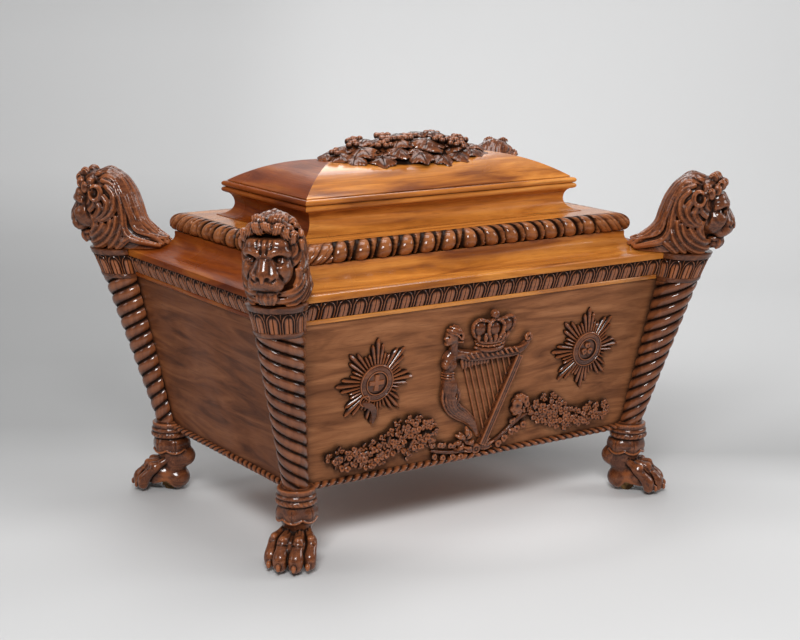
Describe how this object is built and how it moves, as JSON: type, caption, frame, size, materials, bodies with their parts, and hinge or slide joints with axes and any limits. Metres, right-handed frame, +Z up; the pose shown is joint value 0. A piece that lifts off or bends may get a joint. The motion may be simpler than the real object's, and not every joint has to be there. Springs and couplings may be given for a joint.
{
  "type": "cellarette",
  "caption": "Sarcophagus cellarette on lion-paw feet: leaning carved mahogany chest, corner columns with lion heads, hinged domed lid, lead-lined bottle well, castors.",
  "frame": {"origin": "on the floor under the middle of the chest", "axes": "+X along the long front to the viewer's right, +Y from the front to the back, +Z up"},
  "size_m": [1.0952, 0.8032, 0.7375],
  "materials": {
    "mahogany_panel": "waxed, matte",
    "mahogany_polished": "french polished",
    "mahogany_carved": "polished, dark in the recesses",
    "lead": "dull",
    "brass": "tarnished"
  },
  "bodies": {
    "chest": {"front_board": "mahogany_panel", "back_board": "mahogany_panel", "left_board": "mahogany_panel", "right_board": "mahogany_panel", "floor_board": "mahogany_panel", "front_leaf_band": "mahogany_carved", "back_leaf_band": "mahogany_carved", "left_leaf_band": "mahogany_carved", "right_leaf_band": "mahogany_carved", "front_rope_moulding": "mahogany_carved", "back_rope_moulding": "mahogany_carved", "left_rope_moulding": "mahogany_carved", "right_rope_moulding": "mahogany_carved", "front_shelf_rail": "mahogany_polished", "back_shelf_rail": "mahogany_polished", "left_shelf_rail": "mahogany_polished", "right_shelf_rail": "mahogany_polished", "front_left_column": "mahogany_carved", "front_left_capital": "mahogany_carved", "front_left_lion_head": "mahogany_carved", "front_left_paw_foot": "mahogany_carved", "front_right_column": "mahogany_carved", "front_right_capital": "mahogany_carved", "front_right_lion_head": "mahogany_carved", "front_right_paw_foot": "mahogany_carved", "back_left_column": "mahogany_carved", "back_left_capital": "mahogany_carved", "back_left_lion_head": "mahogany_carved", "back_left_paw_foot": "mahogany_carved", "back_right_column": "mahogany_carved", "back_right_capital": "mahogany_carved", "back_right_lion_head": "mahogany_carved", "back_right_paw_foot": "mahogany_carved", "lead_liner": "lead", "bottle_divider": "mahogany_panel", "left_hinge_body_leaf": "brass", "right_hinge_body_leaf": "brass", "left_star": "mahogany_carved", "right_star": "mahogany_carved", "crowned_harp": "mahogany_carved", "left_shamrock_spray": "mahogany_carved", "right_shamrock_spray": "mahogany_carved"},
    "lid": {"lid_board": "mahogany_polished", "front_carved_edge": "mahogany_carved", "back_carved_edge": "mahogany_carved", "left_carved_edge": "mahogany_carved", "right_carved_edge": "mahogany_carved", "lid_neck": "mahogany_polished", "lid_dome": "mahogany_polished", "lid_vine_carving": "mahogany_carved", "left_hinge_lid_leaf": "brass", "right_hinge_lid_leaf": "brass"},
    "front_left_castor": {"front_left_castor_fork": "brass"},
    "front_left_wheel": {"front_left_castor_wheel": "brass"},
    "front_right_castor": {"front_right_castor_fork": "brass"},
    "front_right_wheel": {"front_right_castor_wheel": "brass"},
    "back_left_castor": {"back_left_castor_fork": "brass"},
    "back_left_wheel": {"back_left_castor_wheel": "brass"},
    "back_right_castor": {"back_right_castor_fork": "brass"},
    "back_right_wheel": {"back_right_castor_wheel": "brass"}
  },
  "joints": [
    {"name": "lid_hinge", "type": "hinge", "parent": "chest", "child": "lid", "pos_m": [0, 0.2384, 0.54185], "axis": [-1, 0, 0], "range_deg": [0, 100]},
    {"name": "front_left_castor_swivel", "type": "hinge", "parent": "chest", "child": "front_left_castor", "pos_m": [-0.40272, -0.26372, 0.045], "axis": [0, 0, 1], "continuous": true},
    {"name": "front_left_castor_roll", "type": "hinge", "parent": "front_left_castor", "child": "front_left_wheel", "pos_m": [-0.39635, -0.25735, 0.01482], "axis": [0.7071, -0.7071, 0], "continuous": true},
    {"name": "front_right_castor_swivel", "type": "hinge", "parent": "chest", "child": "front_right_castor", "pos_m": [0.40272, -0.26372, 0.045], "axis": [0, 0, 1], "continuous": true},
    {"name": "front_right_castor_roll", "type": "hinge", "parent": "front_right_castor", "child": "front_right_wheel", "pos_m": [0.39635, -0.25735, 0.01482], "axis": [0.7071, 0.7071, 0], "continuous": true},
    {"name": "back_left_castor_swivel", "type": "hinge", "parent": "chest", "child": "back_left_castor", "pos_m": [-0.40272, 0.26372, 0.045], "axis": [0, 0, 1], "continuous": true},
    {"name": "back_left_castor_roll", "type": "hinge", "parent": "back_left_castor", "child": "back_left_wheel", "pos_m": [-0.39635, 0.25735, 0.01482], "axis": [0.7071, 0.7071, 0], "continuous": true},
    {"name": "back_right_castor_swivel", "type": "hinge", "parent": "chest", "child": "back_right_castor", "pos_m": [0.40272, 0.26372, 0.045], "axis": [0, 0, 1], "continuous": true},
    {"name": "back_right_castor_roll", "type": "hinge", "parent": "back_right_castor", "child": "back_right_wheel", "pos_m": [0.39635, 0.25735, 0.01482], "axis": [0.7071, -0.7071, 0], "continuous": true}
  ]
}
